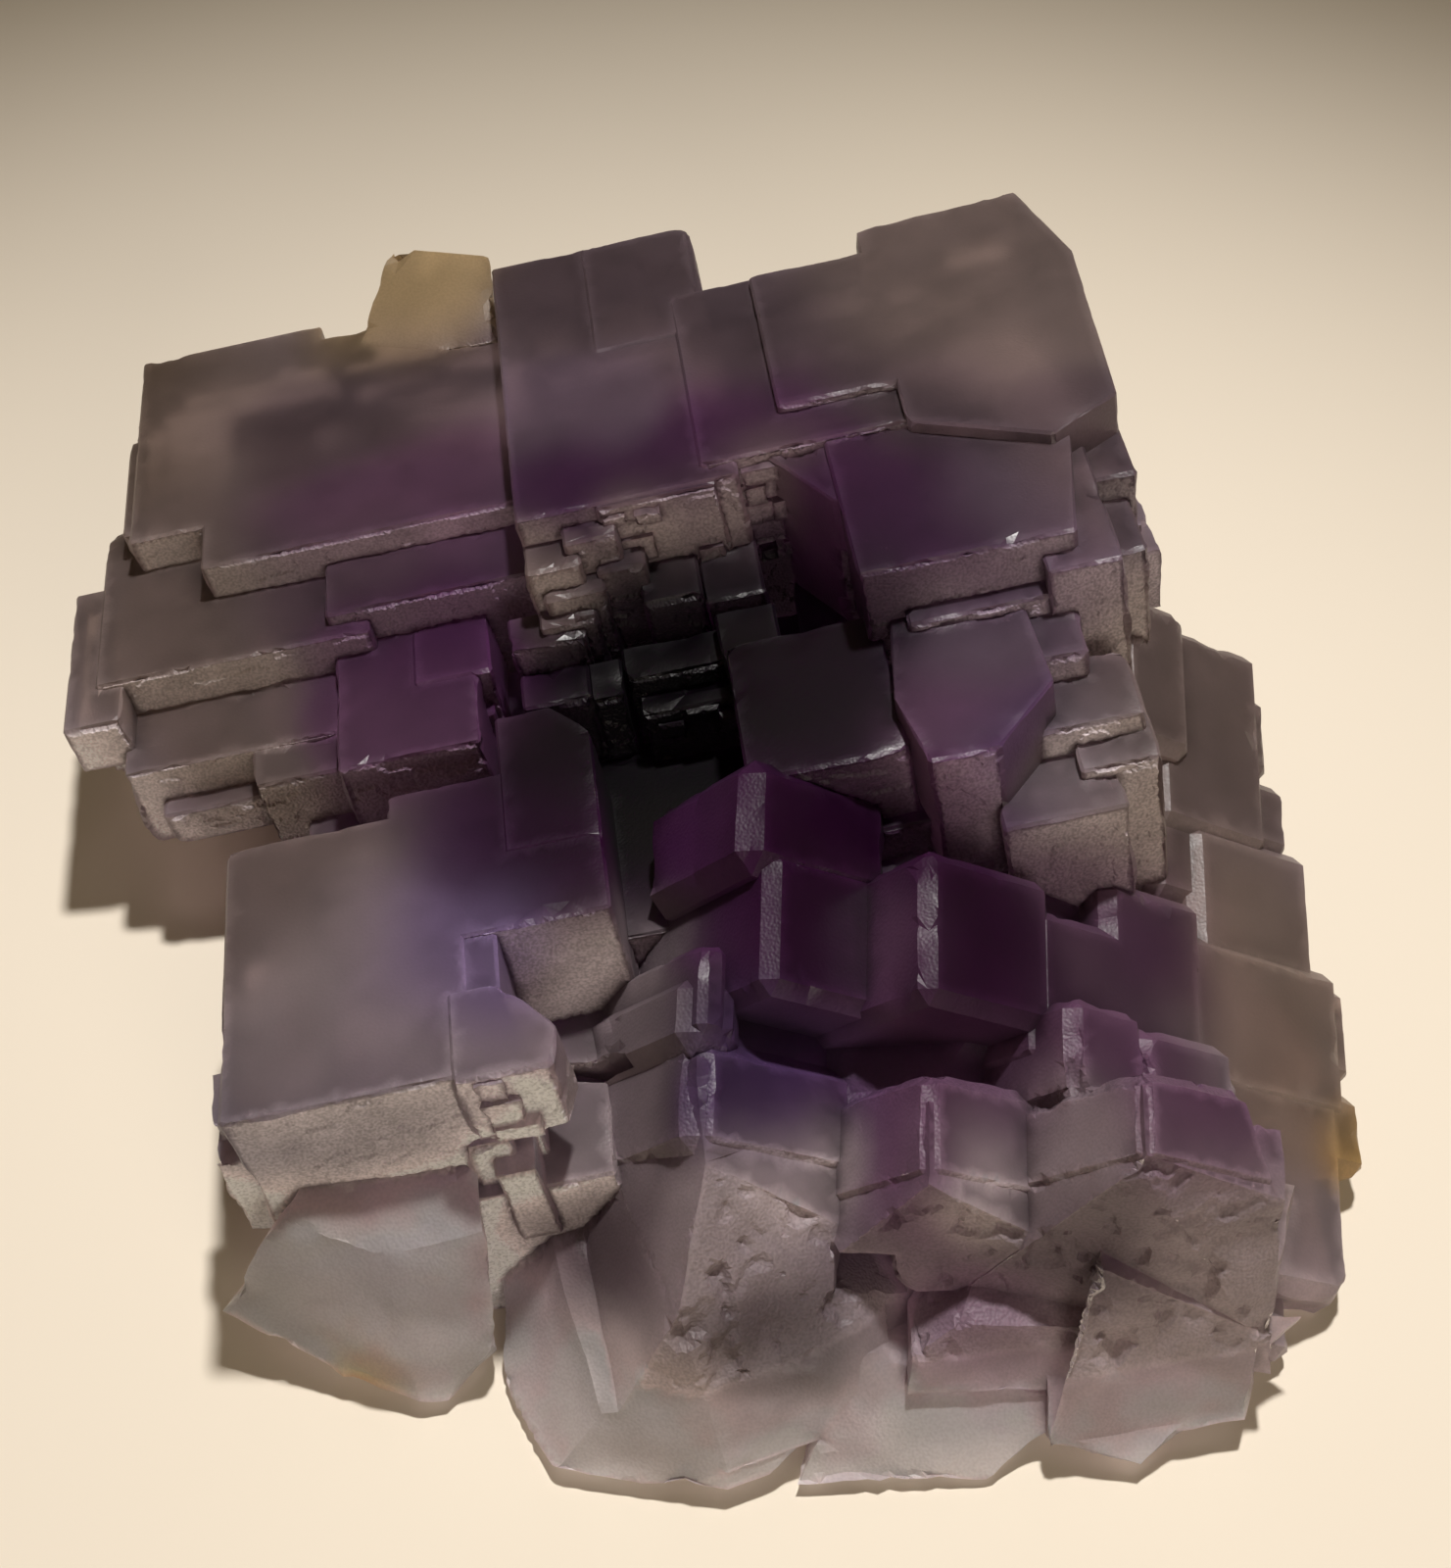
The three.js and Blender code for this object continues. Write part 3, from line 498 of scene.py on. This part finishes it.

# %% [markdown]
# ## Colour
# Fluorite colours itself in zones. Here the middle is ink-purple to black, the ridges around it are
# magenta, and the colour thins through violet and lilac clouds to smoky grey at the rims. A few places are
# stained yellow. Two zones are painted light: a painted glow on the thin front rims, where light gets
# through, and painted shade in a band under the front overhang. Each zone is a soft ball of one named
# colour, so a zone is easy to move or to change. A point takes the mean of the zones around it, and a weak
# colour by its distance from the heart. The kind of its face then says how hazy, grainy and clear the
# point is, and how light: partly its own tone, partly painted light that lifts the risers and worn rims.
# Convex edges are lighter by their frosted wear and a painted highlight, and hollows darker by painted
# shade.

# %% Colour zones
PALETTE = {  # as they look in even light, 0 to 255
    "black": (2, 0, 3),
    "ink": (10, 0, 12),
    "magenta": (32, 0, 32),
    "plum": (46, 18, 50),
    "violet": (56, 24, 58),
    "mauve": (84, 56, 80),
    "indigo": (62, 42, 78),
    "lilac": (98, 80, 118),
    "haze": (82, 68, 82),
    "slate": (64, 53, 59),
    "smoke": (94, 82, 79),
    "dust": (112, 98, 90),
    "grit": (70, 64, 74),
    "ash": (118, 107, 110),
    "mist": (132, 120, 122),
    # painted glow of light coming through the thin front rims
    "rim_glow": (147, 137, 139),
    "milk": (160, 148, 148),
    "bone": (154, 139, 136),
    # painted shade under the front overhang
    "slope_shade": (46, 36, 40),
    "ochre": (72, 60, 46),
    "cream": (112, 96, 70),
    "amber": (140, 112, 60),
}
ZONES = [  # colour, reach in mm, and places in mm
    ("black", 4.5, [(-2, 6, 23), (1, 5, 23), (-4, 2, 20), (-6, -2, 16), (7, 12, 20), (-1, -3, 17)]),
    ("black", 4.5, [(5, 8, 24)]),
    ("ink", 5.0, [(7, -3, 27), (9, -1, 27), (-8, -5, 23), (0, -24, 17), (8, 5, 26), (11, 9, 26)]),
    ("magenta", 4.5, [(-9, -12, 23), (7, -14, 26), (8, -20, 24), (18, -20, 25), (18, -24, 23)]),
    ("magenta", 4.5, [(14, -16, 27)]),
    ("plum", 3.5, [(-13, -12, 22), (14, 8, 34), (16, 6, 34), (-7, 13, 30), (0, 12, 31)]),
    ("violet", 3.5, [(0, -12, 24), (3, -19, 23), (28, -14, 19), (31, -15, 17), (24, -13, 21)]),
    ("violet", 4.5, [(-20, 8, 19), (-17, 3, 20), (4, 17, 31), (10, 11, 31)]),
    ("mauve", 4.0, [(-18, 0, 20), (-22, 3, 18), (-19, 20, 23), (-26, 18, 22), (17, -8, 31), (19, -40, 8)]),
    ("mauve", 2.5, [(13, -19, 24), (13, -21, 23)]),
    ("mauve", 4.0, [(17, -30, 20), (12, -29, 18), (26, -26, 21), (31, -33, 23)]),
    ("indigo", 3.5, [(4, -26, 19), (5, -29, 18), (9, -27, 17), (21, -10, 31)]),
    ("lilac", 3.5, [(-14, -23, 23), (-15, -18, 22), (-17, -21, 22)]),
    ("haze", 3.0, [(20, 8, 35), (-10, 23, 28), (-5, 21, 29), (18, -2, 31)]),
    ("slate", 5.0, [(-30, 28, 20), (-22, 33, 22), (-11, 37, 27), (-4, 36, 29), (5, 26, 32), (-26, 14, 20)]),
    ("slate", 4.0, [(24, -38, 17)]),
    ("smoke", 3.0, [(-32, 2, 16), (-32, 7, 17), (-29, -2, 16), (-36, 8, 16)]),
    ("slate", 4.0, [(24, 12, 35), (26, 14, 36), (14, 18, 34), (27, 11, 35)]),
    ("smoke", 6.0, [(-40, 34, 18), (-41, 25, 18), (-38, 14, 17), (16, 29, 33), (22, 33, 34), (26, 24, 36)]),
    ("smoke", 6.0, [(33, 1, 21), (37, 4, 17), (29, -10, 21), (-27, -15, 20)]),
    ("smoke", 2.5, [(-3, 11, 28), (2, 12, 29), (6, 14, 30), (-10, 8, 26)]),
    ("dust", 5.0, [(38, -14, 12), (42, -21, 8)]),
    ("ash", 3.0, [(24, -9, 26), (41, -32, 5), (40, -33, 7)]),
    ("grit", 4.0, [(-21, -31, 20), (-25, -31, 18), (-17, -31, 20), (-22, -32, 16)]),
    ("bone", 4.0, [(-18, -34, 13), (-22, -35, 12), (-25, -36, 7), (-18, -37, 9), (-28, -35, 8)]),
    # Painted shade: a dark band on the slope under the front overhang.
    ("slope_shade", 3.4, [(6, -41, 8), (3, -40, 9), (-7, -33, 10), (-4, -35, 12), (-6, -34, 9)]),
    ("ochre", 4.0, [(-43, 37, 17), (-43, 31, 17), (-43, 25, 17)]),
    ("ash", 4.0, [(-4, -26, 16), (-3, -21, 18), (2, -37, 15), (22, -32, 20), (31, -37, 18), (30, -40, 11)]),
    ("mist", 5.0, [(-21, -19, 22), (-23, -26, 22), (-18, -27, 23), (-9, -30, 15), (27, -41, 6)]),
    # Painted glow: light coming through the thin low rims in front.
    ("rim_glow", 5.0, [(-15, -40, 4), (-9, -40, 4), (-4, -44, 4), (5, -45, 3), (15, -44, 3), (19, -42, 4)]),
    ("rim_glow", 5.0, [(28, -43, 3)]),
    ("milk", 2.5, [(5, -32, 17), (8, -31, 15), (18, -34, 19), (-9, -31, 16)]),
    ("bone", 3.0, [(0, -43, 7), (-6, -41, 6)]),
    ("cream", 4.0, [(-21, 42, 23), (-19, 44, 23), (-24, 40, 22)]),
    ("amber", 2.0, [(44, -23, 5), (43, -25, 5), (-20, -40, 3)]),
]
HEART, HEART_STRETCH = np.array([3.0, -2.0, 20.0]), np.array([1.0, 1.0, 1.2])
HEART_STEPS = {"ink": 9.6, "violet": 16.0, "haze": 31.0, "ash": 46.0}  # colours by distance from it, mm
HEART_WEIGHT = 0.04  # against 1 in the middle of a zone
WANDER_SIZE, WANDER, WANDER_SEEDS = 5.0, 1.2, (21, 22, 23)  # zones' outlines wander by this, mm
TINT_STRENGTH, LIGHTEST = 3.2, 0.92
# Convex edges are made lighter by their frosted wear and by a painted highlight along them.
# Hollows are darkened by painted shade.
RISER_GREY, EDGE_WEAR_AND_HIGHLIGHT, HOLLOW_PAINTED_SHADE = 0.45, 0.12, 0.6
CLOUD_SIZES, CLOUD, CLOUD_SEED = (6.0, 2.6, 1.3), 0.10, 41  # patches lighter or darker by this part
HAZE = (0.32, 0.46, 0.42, 0.50, 0.50)  # blur of smooth, frosted, worn, pitted and rough faces
GRAIN = (0.07, 0.22, 0.26, 0.5, 0.85)  # how strongly their fine grain shows
# Lightness by kind is partly the faces' own tone and partly painted light, which lifts the front risers and
# the worn rims.
FACE_TONE_AND_PAINTED_LIGHT = (0.72, 0.85, 1.2, 0.58, 1.75)  # how light they are
CLEAR = (0.76, 0.60, 0.78, 0.40, 0.34)  # and how much light they let through
print("zones:", sum(len(places) for _, _, places in ZONES), "places in", len(PALETTE), "colours")


# %% Colour the skin
def to_light(colour):
    """Screen colour 0 to 255 as amounts of light 0 to 1, by the usual curve of screens."""
    share = np.array(colour) / 255
    return np.where(share < 0.04045, share / 12.92, ((share + 0.055) / 1.055) ** 2.4)


def heart_colour(points):
    """The colour where no zone is near: ink and violet at the heart, through haze to ash at the rims."""
    far = np.linalg.norm((points - HEART) * HEART_STRETCH, axis=1)
    stops = np.array([to_light(PALETTE[name]) for name in HEART_STEPS])
    return np.stack([np.interp(far, list(HEART_STEPS.values()), stop) for stop in stops.T], 1)


def zone_colour(points):
    """The mean of the zones' colours around each point and a weak heart colour. A zone weighs e to the
    power of minus the square of distance over reach."""
    moved = points + WANDER * wandering(points, WANDER_SIZE, WANDER_SEEDS)
    total, weights = heart_colour(points) * HEART_WEIGHT, np.full(len(points), HEART_WEIGHT)
    for name, reach, places in ZONES:
        for place in places:
            weight = np.exp(-(((moved - place) / reach) ** 2).sum(1))
            total += weight[:, None] * to_light(PALETTE[name])
            weights += weight
    return total / weights[:, None]


def greyer(tint, share):
    """Colours moved part of the way to a grey of the same lightness."""
    return tint + (tint.mean(1, keepdims=True) - tint) * share[:, None]


tint = greyer(zone_colour(points), RISER_GREY * share_between(kind, PITTED, ROUGH))
light, haze, grain, clear = (np.interp(kind, KINDS, levels)
                             for levels in (FACE_TONE_AND_PAINTED_LIGHT, HAZE, GRAIN, CLEAR))
clouds = sum(CLOUD * soft_noise(points, size, CLOUD_SEED) for size in CLOUD_SIZES)
# Painted light: the face kind lightens risers and worn rims, edges get a painted highlight over their wear,
# and hollows get painted shade.
tint = tint * (light * (1 + clouds + EDGE_WEAR_AND_HIGHLIGHT * edge - HOLLOW_PAINTED_SHADE * hollow_shade))[:, None]
tint = np.clip(tint * TINT_STRENGTH, 0, LIGHTEST)
print("mean colour:", tint.mean(0).round(3), "mean haze:", haze.mean().round(3))

# %% [markdown]
# ## Material
# The crystal lets light through and bends it a little, less than glass does. Its body swallows green most,
# which leaves a breath of purple, and the zones' colour tints the light at the skin. Frost too fine for the
# mesh is a bump with light and dark specks, strong on risers and noses and faint on smooth faces. The
# specks follow the bump, so they are partly the frost's grain and partly painted shade in its hollows and
# painted sparkle on its crests. Colour, blur, frost and clearness are read from the skin's own attributes,
# so one material serves all faces.

# %% Crystal material
REFRACTION = 1.434  # of fluorite
MIX_SHARE, MIX_FIRST, MIX_SECOND, MIX_RESULT = 0, 6, 7, 2  # a Mix node's colour sockets, which share names
GRAIN_SCALE, GRAIN_HEIGHT = 5200.0, 0.00010  # lumps per metre, and metres high
SHEEN = 0.25  # half the gloss of a clean face, because the faces are etched
# The specks are partly the frost's own grain and partly painted light: shade in its hollows, sparkle on its
# crests.
SPECK_DARK_AND_SHADE, SPECK_LIGHT_AND_SPARKLE = 0.8, 1.3  # the grain's hollows are darker and its crests lighter than the face
GRAIN_HOLLOW, GRAIN_CREST = 0.3, 0.7  # noise values of hollows and crests
BODY_COLOUR, BODY_DENSITY = (0.68, 0.62, 0.74), 24.0  # what the body leaves, and its strength per metre


def crystal_material():
    """A frosted, tinted, see-through crystal: colour and frost come from the skin's own attributes."""
    material = bpy.data.materials.new("fluorite")
    material.use_nodes = True
    tree = material.node_tree
    body = tree.nodes["Principled BSDF"]
    body.inputs["IOR"].default_value = REFRACTION
    body.inputs["Specular IOR Level"].default_value = SHEEN

    def add(kind, sockets=None, **settings):
        """A new node with some sockets' values and some settings."""
        made = tree.nodes.new(kind)
        for name, value in settings.items():
            setattr(made, name, value)
        for name, value in (sockets or {}).items():
            made.inputs[name].default_value = value
        return made

    def join(source, output, target, socket):
        """A link from one node's output to another's socket, by name or number."""
        tree.links.new(source.outputs[output], target.inputs[socket])

    tint_of, haze_of, grain_of, clear_of = (add("ShaderNodeAttribute", attribute_name=name)
                                            for name in ("tint", "haze", "grain", "clear"))
    place = add("ShaderNodeTexCoord")
    grain = add("ShaderNodeTexNoise", {"Scale": GRAIN_SCALE, "Detail": 0.0})
    bump = add("ShaderNodeBump", {"Distance": GRAIN_HEIGHT})
    # Specks that follow the bump: painted shade in its hollows and painted sparkle on its crests.
    speck_and_sparkle = add("ShaderNodeMapRange", {"From Min": GRAIN_HOLLOW, "From Max": GRAIN_CREST,
                                       "To Min": SPECK_DARK_AND_SHADE, "To Max": SPECK_LIGHT_AND_SPARKLE})
    tint_with_sparkle = add("ShaderNodeMix", data_type="RGBA", blend_type="MULTIPLY")
    absorb = add("ShaderNodeVolumeAbsorption", {"Color": (*BODY_COLOUR, 1.0), "Density": BODY_DENSITY})
    join(place, "Object", grain, "Vector")
    join(grain, "Fac", speck_and_sparkle, "Value")
    join(grain_of, "Fac", tint_with_sparkle, MIX_SHARE)
    join(tint_of, "Color", tint_with_sparkle, MIX_FIRST)
    join(speck_and_sparkle, "Result", tint_with_sparkle, MIX_SECOND)
    join(tint_with_sparkle, MIX_RESULT, body, "Base Color")
    join(clear_of, "Fac", body, "Transmission Weight")
    join(haze_of, "Fac", body, "Roughness")
    join(grain, "Fac", bump, "Height")
    join(grain_of, "Fac", bump, "Strength")
    join(bump, "Normal", body, "Normal")
    join(absorb, "Volume", tree.nodes["Material Output"], "Volume")
    return material


material = crystal_material()
print("nodes:", len(material.node_tree.nodes))

# %% [markdown]
# ## The finished crystal
# The points, triangles and values become one mesh. Its shading is smooth, apart from edges that fold
# sharply, as crystal edges do. The mesh rides on the one body and stands in for the solid of the frame.

# %% Put the skin in the scene
SHARP_ANGLE = np.radians(14.0)


def paint(mesh, name, kind, values):
    """Stores one value per point on the mesh."""
    layer = mesh.attributes.new(name, kind, "POINT")
    layer.data.foreach_set("color" if kind == "FLOAT_COLOR" else "value", values.astype(np.float32).ravel())


mesh = write_mesh("fluorite", points, triangles)
mesh.shade_smooth()
mesh.set_sharp_from_angle(angle=SHARP_ANGLE)
paint(mesh, "tint", "FLOAT_COLOR", np.c_[tint, np.ones(len(tint))])
paint(mesh, "haze", "FLOAT", haze)
paint(mesh, "grain", "FLOAT", grain)
paint(mesh, "clear", "FLOAT", clear)
mesh.materials.append(material)
fluorite = bpy.data.objects.new("fluorite", mesh)
bpy.context.scene.collection.objects.link(fluorite)
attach(fluorite, "root")
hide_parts("fluorite_cluster")
print("crystal skin:", len(mesh.polygons), "triangles")
